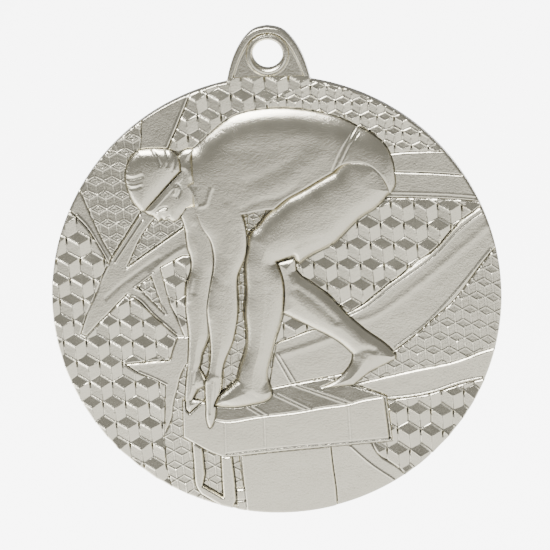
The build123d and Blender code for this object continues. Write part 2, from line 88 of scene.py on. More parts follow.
# Outlines, closed: straight to a lone point, and smooth from the last point through a list of them.
OUTLINES = {
    "body_swell": [(-11.5, 16), (-9.7, 17), BACK, SEAT, (10, 4), (-4, 4), (-12, 4), (-12.5, 12)],
    "loop": [
        [(-4.65, 24.4), (-3.9, 27), (-2.75, 29.1), (-1.4, 30.3), (0, 30.6)],
        [(1.4, 30.3), (2.75, 29.1), (3.9, 27), (4.65, 24.4)]],
    "loop_field": [
        [(-4.15, 24.6), (-3.3, 26.9), (-2.3, 28.75), (-1.15, 29.8), (0, 30.05)],
        [(1.15, 29.8), (2.3, 28.75), (3.3, 26.9), (4.15, 24.6)]],
    "cap": [
        [(-14.67, 17.33), (-15.6, 16.5), (-16.15, 15.4), (-16.35, 14.2), (-16.1, 12.7),
         (-15.6, 11.4), (-14.8, 10.4)], (-14.35, 10.35), (-10.1, 14.7),
        [(-10.1, 15.4), (-10.4, 16.4), (-10.9, 16.95), (-12, 17.3), (-13.4, 17.4), (-14.67, 17.33)]],
    "head": [
        [(-14.35, 10.35), (-13.9, 9.95), (-13.45, 9.8)], (-12.85, 9.1), (-12.45, 9.45),
        [(-12.15, 9.2), (-11.75, 9.4)], [(-11.25, 9.05), (-10.75, 9.15), (-10.3, 9.7)], (-9.7, 10),
        (-8.6, 10.8), (-7.6, 14), (-8.8, 16), (-8.7, 17.15), [(-9.7, 17.05), (-10.4, 16.4)],
        (-11.5, 15)],
    "near_arm": [
        [(-9.5, 13.1), (-8.8, 12), (-8.7, 11.1), (-8.4, 9.7), (-7.9, 8.3), (-7.2, 7.2), (-6.85, 6),
         (-6.85, 3.6), (-7.2, 2), (-7.5, 0.4), (-7.7, -0.7), (-7.55, -3.4), (-7.45, -4.8),
         (-7.55, -7.2), (-7.8, -8.5)], (-8.15, -9.4),
        [(-8.2, -11), (-8.15, -12.5), (-8.1, -14.2), (-7.8, -14.8), (-7.4, -14.2), (-7.1, -12.8)],
        [(-7, -11.8), (-6.5, -10.4), (-6.3, -8.8), (-5.9, -7), (-5.1, -5.2), (-4.55, -3.1),
         (-4.3, -1.2), (-4.3, 1.2), (-4.1, 3), (-3.36, 4.6), (-3.1, 6), (-3.1, 7), (-3.3, 8.7),
         (-3.7, 10.1)], [(-5, 11.9), (-6.7, 12.9), (-8.6, 13.4), (-9.5, 13.1)]],
    "far_arm": [
        [(-10.3, 9.5), (-9.95, 8.3), (-9.7, 6), (-9.4, 4.8), (-9.4, 3.4), (-9.9, 1.9), (-10.1, 0.2),
         (-10.1, -1.4), (-9.9, -3.4), (-9.95, -6), (-10.1, -7.8), (-10.4, -10.2), (-10.5, -11.9),
         (-10.35, -12.8), (-10, -13.15)], (-8.5, -11.75), (-9.6, -11.5), (-9, -10.4), (-8.15, -10),
        (-8.15, -9.2), (-8.75, -7.9), [(-8.5, -7.1), (-8.4, -6.4), (-8, -5.4), (-7.5, -4.2)],
        (-6.5, 4), (-7, 11), (-9.7, 10.6)],
    "trunks": [
        [(9.7, 19.05), *SEAT, (13.1, 11.4)],
        [(12.85, 12.3), (12.3, 13.4), (11.5, 14.3), (10.4, 15), (9.1, 15.15), (7.8, 14.9),
         (6.9, 14.25)], [(7.8, 16.1), (8.9, 17.9), (9.7, 19.05)]],
    "near_leg": [
        (8.6, 16), (6.9, 14.2),
        [(5, 13.2), (3, 12.1), (1.7, 11.45), (0.6, 10.65), (-1, 9.2), (-2, 8.1), (-2.8, 7.3),
         (-3.05, 6), (-3.36, 4.4), (-3.42, 0.85), (-3.6, -1.2), (-3.5, -4.4), (-3.7, -6),
         (-4.3, -7.8), (-4.7, -9.4)], [(-6.2, -10.6), (-6.95, -11.3), (-7.35, -12.3)],
        [(-5.2, -12.6), (-2.8, -12.3), (-1.6, -12), (-0.9, -11.4), (-0.85, -10.8)],
        [(-1.2, -9.6), (-1.1, -8), (-0.7, -6.6), (-0.2, -4.8), (0.4, -3.1), (0.8, -1.4), (1, 0.4),
         (0.85, 2.4), (0.35, 3.9)], [(1.1, 4.15), (2, 4.4)], (2.7, 3.75),
        [(3.5, 4.35), (5.4, 5.3), (6.7, 6), (7.5, 6.7), (9, 8.15), (10.1, 9), (11.3, 9.7),
         (12.3, 10.6), (13.2, 11.6)], (12.4, 15.5)],
    "rear_leg": [
        (0, 4.2), (2.3, 4.5), (2.3, 3),
        [(2.8, 2.4), (4, 1.5), (5.2, 0.55), (6.4, -0.65), (7.5, -2), (8.8, -3.3), (10, -4.4),
         (11.2, -5.3), (12.2, -6.2), (12.95, -7.1)], (12.9, -7.55),
        [(11.6, -8.2), (10, -9), (9.2, -9.6), (8.2, -10.4)], (4.6, -10.65),
        [(5.7, -10.2), (6.6, -9.6), (7.5, -8.7), (8.1, -7.7), (8.25, -6.8)],
        [(7.1, -5.6), (5.7, -4.6), (4.25, -3.8)], (0.6, -1.8), (0.5, 2)],
    "torso": [
        BACK, (9, 15), (6.9, 14), (0.6, 10.2), (-0.7, 10.2), (-3.6, 9.75), (-6.5, 8), (-8.2, 11),
        (-8.7, 13), (-8.8, 16)],
    "block_top": [
        [(-7.6, -13.85), (-5.9, -14.2), (-4, -14), (-1.8, -13.7), (2, -13.35), (5, -12.9),
         (7.6, -12.6), (9, -12.25), (11.7, -11.85)], (8.1, -10.6), (5.2, -9.6),
        [(2.6, -10), (1.2, -10.2), (-1, -10.6)], (-4, -11), (-6.5, -11), (-7.4, -11.2), (-7.9, -12)],
    "block_front": [
        (-10.7, -11.6), (-10.75, -15.85), [(-9, -17), (-7.4, -17.9), (-6.3, -18.35)],
        [(-5.7, -18.3), (-1.6, -17.95), (2, -17.7), (5, -17.5), (12.2, -17)], (11.7, -11.85),
        (7.6, -12.4), (-1.8, -13.4), (-7, -13.4), (-8.3, -11.9)],
    "pillar": [
        (-4.7, -18), (-4.35, -22.1), (-5.2, -22.1), (-5.3, -25), (6.1, -25),
        [(5.9, -22.5), (5.6, -20), (5.4, -17.3)]],
    "handle": [
        (-9.9, -16.2), [(-9.8, -20.2), (-9.65, -21.8), (-9.2, -22.55)], (-7.1, -23.9),
        (-5.8, -24.25), (-5.3, -23.4), (-5.3, -21.4), (-5.55, -18), (-6.75, -17.6), (-6.75, -22.9),
        (-8.9, -21.5), (-8.6, -20.2), (-8.75, -16.8)],
    "right_panel": [
        (5, -17.2), (5.6, -25), (14, -21.5), (13.6, -20.6),
        [(12.8, -20), (11, -18.9), (9.8, -17.1)]],
    "knee_panel": [
        (-0.25, -5.35), (4.25, -3.8), (9, -6), (8, -9), (5.2, -9.5), (2.6, -9.9), (-1.3, -10.7)],
    "upper_band": [
        (-14.3, 22.6), (-14.1, 20.7), (-14.5, 17.4), (-13.5, 16), (-11.5, 16.5), (-11.5, 17.3),
        (-8.7, 23.3), (-8.5, 24.5)],
    "upper_left": [
        (-14.25, 22), (-14.1, 20.7), (-14.5, 17.4), (-15.9, 14), (-14.6, 10.6), (-15, 10),
        (-18.15, 5.3), [(-19.1, 7), (-20, 9.2), (-20.9, 11.8), (-21.4, 13.6)], (-22.5, 15)],
    "rim_band": [
        (-22.9, 11.4), [(-21.9, 10), (-20.8, 8.6), (-20.1, 7.4), (-19.3, 5.9), (-18.6, 4.4)],
        (-18.15, 5.3), (-18.5, 9), (-21.3, 14)],
    "chin": [
        (-16.5, 4.05), (-9.5, 8.75), (-10.1, 10), (-13.2, 10), (-13.3, 9.4),
        [(-14.8, 7.5), (-16, 5.1), (-16.5, 4.05)]],
    "chin_sliver": [(-15.5, 1.75), (-13.9, 2.9), [(-13.3, 1), (-12.5, -1.5)]],
    "small_cubes": [
        (-12.8, 3.8), (-10.3, 5.05), (-9, 5), (-9, -4), (-10.3, -4.35),
        [(-11, -2.4), (-11.8, -0.4), (-12.3, 1.5), (-12.8, 3.8)]],
    "left_band": [
        (-18.6, 4.4), [(-19.5, 2.5), (-20, 1.2), (-20.6, 0), (-21.4, -1.9), (-21.95, -3.5)],
        (-21.3, -3.8), [(-19.4, -1.9), (-18.4, -0.9), (-16.6, 0.9)],
        [(-15.5, 0.2), (-14, -1.4), (-12.5, -2.9), (-11.1, -4.25)], (-9, -4.3), (-9, 9),
        (-13, 10.5), (-14.7, 10.5), (-15, 10), (-18.15, 5.3)],
    "wedge": [
        (-17.15, -7.15), (-12, -6.85), (-11.6, -5.4), (-11.1, -4.25), (-9.5, -4.3), (-9.8, -7),
        (-10.3, -7.6), LEFT_EDGE, (-12.65, -9.85), [(-14, -9), (-15.5, -8.3), (-17.15, -7.15)]],
    "lower_left": [
        (-10.3, -7.6), LEFT_EDGE, [(-12.9, -19), (-12.4, -22.5)], (-4.3, -25), (-4.3, -17),
        (-9.5, -15), (-9.5, -9)],
    "hand_gap": [(-7.4, -4), (-8.9, -4), (-9.8, -12.2), (-8.1, -12), (-7.6, -9)],
    "shin_gap": [(-3.2, 8), (-4.5, 3), (-7.2, -10.9), (-4.3, -10.4), (-3.2, -5)],
    "thigh_gap": [(-3.8, 10), (-0.5, 10.4), (-1.5, 8), (-3.4, 6.5)],
    "upper_right": [
        (-0.3, 21), (-0.3, 22), (5.2, 24.5), (5.3, 26), (20, 22), (20, 16.25), (14.5, 15.95),
        (12.5, 15.7), (8, 18)],
    "hip_upper": [(12.5, 15.7), (14.5, 15.95), (20, 16.25), (22, 13.35), (13, 13.7)],
    "hip_lower": [(13, 13.7), (22, 13.35), (24, 10.4), (12.6, 10.85)],
    "curved_band": [
        (7.2, -2.4),
        [(10, -0.9), (12, 0.7), (14, 2.1), (16, 3.6), (18, 5.1), (20, 7.3), (22, 9.2),
         (23.2, 10.2)], (26, 8), (24.7, 5.6), FIELD_EDGE, (9.5, -4.5)],
    "right_fine": [
        (24.7, 5.6), FIELD_EDGE, (10, -8), (7.5, -10), (8.2, -10.4),
        [(12, -9.6), (16, -8.8), (20, -7.9), (22, -7.1), (25, -6)], (26, 0)],
    "lower_right_band": [
        (25, -6), [(22, -7.1), (20, -7.9), (16, -8.8), (12, -9.6), (8.2, -10.4)], (11.7, -11.85),
        (11.75, -12.4), [(14, -12.2), (17.2, -11.6), (19.5, -10.85), (24, -9.6)]],
}

# Which piece lies over which: a piece is its outline without those of the pieces named before it.
ORDER = {
    "trunks": "swimmer_trunks", "near_leg": "swimmer_near_leg", "near_arm": "swimmer_near_arm",
    "cap": "swimmer_cap", "torso": "swimmer_torso", "far_arm": "swimmer_far_arm",
    "head": "swimmer_head", "rear_leg": "swimmer_rear_leg", "block_top": "block_top",
    "block_front": "block_front", "handle": "step_handle", "pillar": "block_pillar",
    "hand_gap": "fine_cubes_gaps", "shin_gap": "fine_cubes_gaps", "thigh_gap": "fine_cubes_gaps",
    "lower_left": "fine_cubes_lower_left", "chin": "fine_cubes_chin",
    "chin_sliver": "fine_cubes_wedge", "upper_left": "fine_cubes_upper_left",
    "upper_right": "fine_cubes_upper_right", "right_fine": "fine_cubes_right",
    "right_panel": "panel_right", "knee_panel": "panel_under_knee",
    "small_cubes": "cubes_beside_arm", "upper_band": "band_upper", "rim_band": "band_rim",
    "left_band": "band_left", "wedge": "band_wedge", "hip_upper": "band_hip_upper",
    "hip_lower": "band_hip_lower", "curved_band": "band_curved",
    "lower_right_band": "band_lower_right",
}


# ---- curves and distances ----


def smooth(points, step):
    """Points along the natural cubic spline over chord length through the given points."""
    p = np.array(points, float)
    t = np.concatenate([[0.0], np.cumsum(np.hypot(*np.diff(p, axis=0).T))])
    if len(p) == 2:
        return p
    h = np.diff(t)
    n = len(p)
    system, right = np.eye(n), np.zeros((n, 2))
    inner = np.arange(1, n - 1)
    system[inner, inner - 1] = h[:-1]
    system[inner, inner] = 2 * (h[:-1] + h[1:])
    system[inner, inner + 1] = h[1:]
    slope = np.diff(p, axis=0) / h[:, None]
    right[1:-1] = 6 * np.diff(slope, axis=0)
    bend = np.linalg.solve(system, right)
    s = np.linspace(0, t[-1], max(4, int(t[-1] / step) + 1))
    k = np.clip(np.searchsorted(t, s) - 1, 0, n - 2)
    h = h[k][:, None]
    a, b, w = (t[k + 1] - s)[:, None] / h, (s - t[k])[:, None] / h, h**2 / 6
    return a * p[k] + b * p[k + 1] + ((a**3 - a) * bend[k] + (b**3 - b) * bend[k + 1]) * w


def traced(runs, step=0.3):
    """The closed line of an outline's runs, its first point repeated at the end."""
    first, *rest = [run if isinstance(run, list) else [run] for run in runs]
    line = [np.array(first[:1], float)]
    for way in [first[1:]] * (len(first) > 1) + rest:
        line.append(smooth([tuple(line[-1][-1]), *way], step)[1:])
    return np.concatenate([*line, line[0]])


def away(x, z, line):
    """The distance from each point to a line of straight bits."""
    best = np.full(np.shape(x), np.inf)
    for (ax, az), (bx, bz) in zip(line[:-1], line[1:]):
        dx, dz = bx - ax, bz - az
        length = dx * dx + dz * dz
        if length < 1e-12:
            continue
        t = np.clip(((x - ax) * dx + (z - az) * dz) / length, 0, 1)
        np.minimum(best, (x - ax - t * dx) ** 2 + (z - az - t * dz) ** 2, out=best)
    return np.sqrt(best)


def depth(x, z, line):
    """How far inside a closed line each point is, negative outside."""
    within = np.zeros(np.shape(x), bool)
    for (ax, az), (bx, bz) in zip(line[:-1], line[1:]):
        if az == bz:
            continue
        spans = (az > z) != (bz > z)
        within ^= spans & (x < ax + (z - az) / (bz - az) * (bx - ax))
    return np.where(within, 1, -1) * away(x, z, line)


def ease(t):
    """A smooth step from 0 to 1."""
    t = np.clip(t, 0, 1)
    return t * t * (3 - 2 * t)


def swell(d, radius):
    """A quarter circle: 0 at an edge and 1 from radius inwards."""
    t = 1 - np.clip(d / radius, 0, 1)
    return np.sqrt(1 - t * t)


def bar(x, z, points, width, height, step=0.4):
    """A soft ridge, or groove if the height is negative, along a smooth line."""
    line = smooth(points, step)
    low, high = line.min(0) - 3 * width, line.max(0) + 3 * width
    near = (x > low[0]) & (x < high[0]) & (z > low[1]) & (z < high[1])
    out = np.zeros(np.shape(x))
    out[near] = height * np.exp(-((away(x[near], z[near], line) / width) ** 2))
    return out


def bars(x, z, rows):
    """The sum of several soft ridges and grooves: width, height and the points of each."""
    out = np.zeros(np.shape(x))
    for width, height, *points in rows:
        out += bar(x, z, points, width, height)
    return out


def cube_relief(
    x, z, anchor, size, rise, lines, tick, vary=0.14, wire=0.0, shade=0.0, ring=False, flat=0.5
):
    """Heights of a stacked-cube pattern about zero.

    Every vertical strip of half a cube's width repeats four facets down the art: the right half of
    a top lozenge, a right face, the left half of a lozenge and a left face. Each facet is a plane:
    the near corner of a top is highest and its far corner lowest. lines adds a ridge along the
    tops' two lit edges and tick a groove under the side corners. vary tips every facet a little.
    wire raises every edge, and with ring a small lozenge within each top. shade tips all facets
    up, and flat is how far the left faces fall.
    """
    (ax, az), (bx, bz) = CUBE_STEP, CUBE_ROW
    det = ax * bz - az * bx
    dx, dz = (x - anchor[0]) / size, (z - anchor[1]) / size
    m, n = (dx * bz - dz * bx) / det, (ax * dz - az * dx) / det
    half, p, pitch = 1.3, 0.75, 2.439
    down = pitch - p
    s = 2 * m + n
    k = np.floor(s)
    f = s - k
    r = np.mod(n - k, 2.0) * pitch
    r = np.where(r > 2 * pitch - p * (1 - f), r - 2 * pitch, r)
    to_right, to_left = r - p * (1 - f), r - pitch - p * f
    ends_right, starts_left = to_right - down, to_left + 2 * p * f
    height = 0.5 + 0.5 * r / p
    height = np.where(to_right > 0, 1 - 0.5 * f - 0.5 * to_right / down, height)
    height = np.where(starts_left > 0, 0.5 + 0.5 * (r - pitch) / p, height)
    height = np.where(to_left > 0, 0.5 + 0.5 * f - flat * to_left / down, height)
    left = starts_left > 0
    column = k + left
    row = np.round(n - (r - pitch * left) / pitch)
    kind = 1.0 * (to_right > 0) + (starts_left > 0) + (to_left > 0)
    across = s - column
    below = np.where(left, r - pitch, np.where(to_right > 0, to_right, r))
    below = np.where(to_left > 0, to_left, below)

    def chance(seed):
        value = np.sin(column * 12.9898 + row * 78.233 + kind * 37.719 + seed) * 43758.5453
        return value - np.floor(value) - 0.5

    height = height + vary / rise * (chance(1.0) * across + chance(2.0) * below / pitch)
    height = height + shade / rise * below
    lean = half / math.hypot(half, p)
    wide = (0.06 if wire else 0.08) / size
    far_edge = np.minimum(np.abs(r + p * (1 - f)), np.abs(r + p * (1 - f) - 2 * pitch)) * lean
    near_edge = np.abs(to_left) * lean
    lit = np.exp(-((far_edge / wide) ** 2)) + np.exp(-((near_edge / wide) ** 2))
    on_right = (to_right > 0) & (ends_right < 0)
    on_left = to_left > 0
    side = np.where(on_right, 1 - f, np.where(on_left, f, 9.0)) * half
    centre = np.where(on_right, f, np.where(on_left, 1 - f, 9.0)) * half
    fallen = np.clip(np.where(on_right, to_right, to_left) / down, 0, 1)
    fade = np.clip(1.6 - 3.6 * fallen, 0, 1)
    dark = fade * (np.exp(-((side / (1.2 * wide)) ** 2)) + 0.25 * np.exp(-((centre / wide) ** 2)))
    out = rise * (height - 0.5) + lines * lit - tick * dark
    if wire:
        other_far = np.abs(starts_left) * lean
        other_near = np.abs(to_right) * lean
        upright = np.minimum(side, centre)
        on_top = (kind == 0) | (kind == 2)
        down_top = np.where(left, r - pitch, r)
        inner = np.abs(np.abs(across) + np.abs(down_top) / p - 0.5) * p * lean
        edges = (far_edge, near_edge, other_far, other_near, upright)
        for gap in edges + ((np.where(on_top, inner, 9.0),) if ring else ()):
            out = out + wire * np.exp(-((gap / wide) ** 2))
    return out


# ---- meshes ----


def patch(phi, xs, zs):
    """Marching squares: the grid's cells and cut cells where phi is above zero.

    Returns the vertices' x and z, the polygons in groups by corner count, and the cut line's edges,
    each directed as its polygon runs. Polygons run anticlockwise seen from the front.
    """
    inside = phi > 0
    gx, gz = np.meshgrid(xs, zs, indexing="ij")
    number = np.full(phi.shape, -1)
    number[inside] = np.arange(inside.sum())
    x, z, count = [gx[inside]], [gz[inside]], int(inside.sum())
    edges = []
    for a, b in (
        ((slice(None, -1), slice(None)), (slice(1, None), slice(None))),
        ((slice(None), slice(None, -1)), (slice(None), slice(1, None))),
    ):
        cut = inside[a] != inside[b]
        t = np.clip(phi[a][cut] / (phi[a][cut] - phi[b][cut]), 0.03, 0.97)
        x.append(gx[a][cut] + t * (gx[b][cut] - gx[a][cut]))
        z.append(gz[a][cut] + t * (gz[b][cut] - gz[a][cut]))
        row = np.full(cut.shape, -1)
        row[cut] = count + np.arange(cut.sum())
        count += int(cut.sum())
        edges.append(row)
    low, high = slice(None, -1), slice(1, None)
    corners = [number[low, low], number[high, low], number[high, high], number[low, high]]
    sides = [edges[0][:, low], edges[1][high, :], edges[0][:, high], edges[1][low, :]]
    case = sum((c >= 0).astype(int) << i for i, c in enumerate(corners))
    polygons, rim = [], []
    for kind in range(1, 16):
        here = case == kind
        if not here.any():
            continue
        walk = []
        for i in range(4):
            this, following = kind >> i & 1, kind >> (i + 1) % 4 & 1
            if this:
                walk.append(("corner", corners[i][here]))
            if this != following:
                walk.append(("cut", sides[i][here]))
        polygons.append(np.stack([w[1] for w in walk], 1))
        for i, (label, ids) in enumerate(walk):
            after = walk[(i + 1) % len(walk)]
            if label == "cut" and after[0] == "cut":
                rim.append(np.stack([ids, after[1]], 1))
    return np.concatenate(x), np.concatenate(z), polygons, np.concatenate(rim)


def loops_of(rim):
    """The closed loops that directed edges make, as lists of vertex numbers."""
    following = dict(zip(rim[:, 0].tolist(), rim[:, 1].tolist()))
    loops = []
    while following:
        first, here = following.popitem()
        loop = [first]
        while here != first:
            loop.append(here)
            here = following.pop(here)
        loops.append(loop)
    return loops


def mesh_object(name, co, polygons, material, painted_shading, angle=0.8):
    """A mesh from vertex places in metres and arrays of polygons grouped by corner count."""
    mesh = bpy.data.meshes.new(name)
    mesh.vertices.add(len(co))
    mesh.vertices.foreach_set("co", np.ascontiguousarray(co, np.float32).ravel())
    sizes = np.concatenate([np.full(len(g), g.shape[1]) for g in polygons])
    flat = np.concatenate([g.ravel() for g in polygons])
    mesh.loops.add(len(flat))
    mesh.loops.foreach_set("vertex_index", flat.astype(np.int32))
    mesh.polygons.add(len(sizes))
    starts = np.concatenate([[0], np.cumsum(sizes)[:-1]])
    mesh.polygons.foreach_set("loop_start", starts.astype(np.int32))
    mesh.update(calc_edges=True)
    mesh.validate()
    # The painted shading per vertex: above zero a painted highlight on ridges, below zero painted
    # shade in grooves.
    mesh.attributes.new("painted_shading", "FLOAT", "POINT").data.foreach_set("value", painted_shading.astype(np.float32))
    mesh.shade_smooth()
    mesh.set_sharp_from_angle(angle=angle)
    mesh.materials.append(material)
    obj = bpy.data.objects.new(name, mesh)
    bpy.context.scene.collection.objects.link(obj)
    return obj


def painted_shading_of(height, polygons):
    """Height over the neighbours' mean, smoothed once: 1 on a ridge, -1 in a groove, this sharp. It
    sets the painted highlight on ridges and the painted shade in grooves.
    """
    sharp = 0.013
    starts = np.concatenate([g[:, i] for g in polygons for i in range(g.shape[1])])
    ends = np.concatenate([g[:, (i + 1) % g.shape[1]] for g in polygons for i in range(g.shape[1])])
    a, b = np.concatenate([starts, ends]), np.concatenate([ends, starts])
    count = np.maximum(np.bincount(a, minlength=len(height)), 1)

    def mean(values):
        return np.bincount(a, values[b], len(values)) / count

    above = height - mean(height)
    return np.clip((0.5 * above + 0.5 * mean(above)) / sharp, -1, 1)


def unmarked(x, z):
    """Where two fields of cubes meet below the loop without a line."""
    return (x > -0.6) & (x < 5.6) & (z > 21.8)


def blended(x, z):
    """Where the near arm runs into the torso without an edge."""
    return (x > -9.7) & (x < -2.8) & (z > 9.9) & (z < 13.7)


def pressed(height):
    """Heights with the tops of the relief pressed towards the full thickness of the CAD part."""
    return height - 0.43 * np.maximum(height - 2.35, 0) ** 2


def settled(x, z):
    """The art's final places: a little higher, wider towards the bottom, unmoved at the edge."""
    share = np.clip(1 - (np.hypot(x, z) / DISC_RADIUS) ** 8, 0, 1)
    return x * (1 - 0.00133 * share * z), z + share * (0.28 + 0.0068 * x)


def carved(name, phi, xs, zs, front, base, material, back=None, seam=None, moat=0.0, flip=False):
    """A closed piece: its front at the height front(x, z), walls at its outline, and its back.

    The back is flat at the height base, or a second curved face at back(x, z). With flip the curved
    face lies behind the flat one, so every face is turned round.

    A moat this deep runs along its seams with other pieces: seam is the distance to them.
    """
    x, z, polygons, rim = patch(phi, xs, zs)
    out = DISC_RADIUS - np.hypot(x, z)
    height = pressed(front(x, z))
    behind = back(x, z) if back else None
    if moat:
        inside = phi > 0
        near = np.concatenate([seam[inside], np.zeros(len(x) - inside.sum())])
        near[(out < 0.03) | unmarked(x, z) | blended(x, z)] = FAR
        height = height - moat * np.exp(-((near / MOAT_WIDTH) ** 2))
    # Painted shading from the relief: ridges to be painted lighter as a highlight, grooves darker as
    # shade.
    painted_shading = painted_shading_of(height, polygons)
    # No painted shading near the disc's edge or where the arm runs into the torso.
    painted_shading[(out < 0.4) | blended(x, z)] = 0
    x, z = settled(x, z)
    top = np.stack([x, -height, z - HOLE_HEIGHT], 1)
    if back is None:
        around, place = np.unique(rim.ravel(), return_inverse=True)
        place = place.reshape(rim.shape) + len(x)
        low = np.stack([x[around], np.full(len(around), -base), z[around] - HOLE_HEIGHT], 1)
        under = loops_of(rim)
        lookup = np.full(len(x), -1)
        lookup[around] = np.arange(len(around)) + len(x)
        order = np.concatenate([np.array(loop) for loop in under])
        flat = [[Vector((x[i], z[i], 0)) for i in loop] for loop in under]
        cap = np.array(tessellate_polygon(flat))
        a, b, c = (order[cap[:, i]] for i in range(3))
        turn = (x[b] - x[a]) * (z[c] - z[a]) - (x[c] - x[a]) * (z[b] - z[a])
        cap = lookup[np.stack([a, np.where(turn > 0, c, b), np.where(turn > 0, b, c)], 1)]
        groups = polygons + [cap]
    else:
        low = np.stack([x, -behind, z - HOLE_HEIGHT], 1)
        place = rim + len(x)
        groups = polygons + [g[:, ::-1] + len(x) for g in polygons]
    walls = np.stack([rim[:, 1], rim[:, 0], place[:, 0], place[:, 1]], 1)
    co = np.concatenate([top, low]) * MM
    groups = groups + [walls]
    if flip:
        groups = [g[:, ::-1] for g in groups]
    return mesh_object(name, co, groups, material, np.concatenate([painted_shading, np.zeros(len(low))]))


# ---- heights over the back face, in millimetres ----


def dome(x, z, line, edge, top, roll, radius):
    """A rounded body: a steep shoulder at its edge, levelling off over roll, on a slower swell."""
    d = np.maximum(depth(x, z, line), 0)
    return edge + (top - edge) * (0.85 * (1 - np.exp(-d / roll)) + 0.15 * swell(d, radius))


def bodied(name, x, z, lines):
    """A body's dome, its sizes from the table."""
    swelling, *sizes = BODIES[name]
    return dome(x, z, lines[swelling], *sizes)


def head_base(x, z, lines):
    """The head's dome, with the cap's rolled edge as a low flat strip along a slanting line."""
    along = ((x + 14.35) * 4.35 - (z - 10.35) * 4.25) / math.hypot(4.25, 4.35)
    band = 0.05 * ease((along + 0.05) / 0.12) * ease((0.72 - along) / 0.15)
    band *= (z < x + 25.2) & (x < -10.0)
    return bodied("head", x, z, lines) + band


def near_arm_base(x, z, lines):
    """The near arm's dome, which turns into the torso's own surface from the elbow up."""
    shoulder = ease((z - 4.0) / 6.0)
    torso = bodied("torso", x, z, lines) + bars(x, z, MARKS["torso"])
    return bodied("near_arm", x, z, lines) * (1 - shoulder) + torso * shoulder


def far_arm_base(x, z, lines):
    """The far arm's dome, with one cross-section carried on up to where the torso hides it."""
    above = np.maximum(z - 7.8, 0)
    return bodied("far_arm", x + 0.29 * above, z - above, lines)


def large_cubes(x, z, lines=None):
    """The large stacked cubes: planes with dark tops, paler sides and lit edges."""
    return 1.74 + cube_relief(x, z, (-19.84, -9.06), 1.0, 0.34, 0.1, 0.2, flat=0.16)


def fine_cubes(anchor, size, level=1.7, rise=0.035, edges=0.0, tick=0.0, **looks):
    """A field of fine stacked cubes about a level, each edge a raised wire."""
    looks = {"vary": 0.02, "wire": 0.06, "shade": 0.015, **looks}
    return lambda x, z, lines: level + cube_relief(x, z, anchor, size, rise, edges, tick, **looks)


# Each body: which line its swell follows (its own, or -1 for the whole body's), the height at its
# edge, its full height, and how far in its shoulder and its swell reach.
BODIES = {
    "trunks": (-1, 1.87, 2.87, 1.05, 5.0),
    "near_leg": (0, 2.0, 3.15, 0.85, 3.0),
    "near_arm": (0, 2.35, 2.9, 0.45, 1.9),
    "cap": (0, 2.05, 2.8, 0.6, 2.6),
    "torso": (-1, 1.85, 2.85, 1.05, 5.0),
    "far_arm": (0, 1.9, 2.4, 0.42, 1.4),
    "head": (0, 1.95, 2.4, 0.4, 1.6),
    "rear_leg": (0, 2.0, 2.55, 0.5, 2.0),
}
RINGED = {"vary": 0.03, "wire": 0.055, "ring": True}
BASES = {
    "head": head_base,
    "near_arm": near_arm_base,
    "far_arm": far_arm_base,
    "block_top": lambda x, z, lines: 2.15 - 0.15 * np.clip(z + 13.4 - 0.11 * x, 0, 9),
    "block_front": lambda x, z, lines: 2.15,
    "handle": lambda x, z, lines: 1.85 + 0.35 * swell(depth(x, z, lines[0]), 0.3),
    "pillar": lambda x, z, lines: 1.9,
    "small_cubes": large_cubes,
    "hand_gap": fine_cubes((-8.6, -6.2), 0.62, 1.6),
    "shin_gap": fine_cubes((-5.3, -6.2), 0.66, 1.6),
    "thigh_gap": fine_cubes((-2.2, 9.2), 0.5, 1.6),
    "lower_left": fine_cubes((-12.04, -15.9), 0.69),
    "chin": fine_cubes((-14.2, 7.6), 0.6, shade=0.03, **RINGED),
    "chin_sliver": fine_cubes((-13.9, 1.2), 0.5),
    "upper_left": fine_cubes((-18.6, 12.35), 0.69, shade=0.035, **RINGED),
    "upper_right": fine_cubes(
        (10.0, 22.0), 0.69, rise=0.1, edges=0.03, tick=0.22, vary=0.08, wire=0.045, shade=-0.04
    ),
    "right_fine": fine_cubes((18.0, -5.2), 0.69),
}
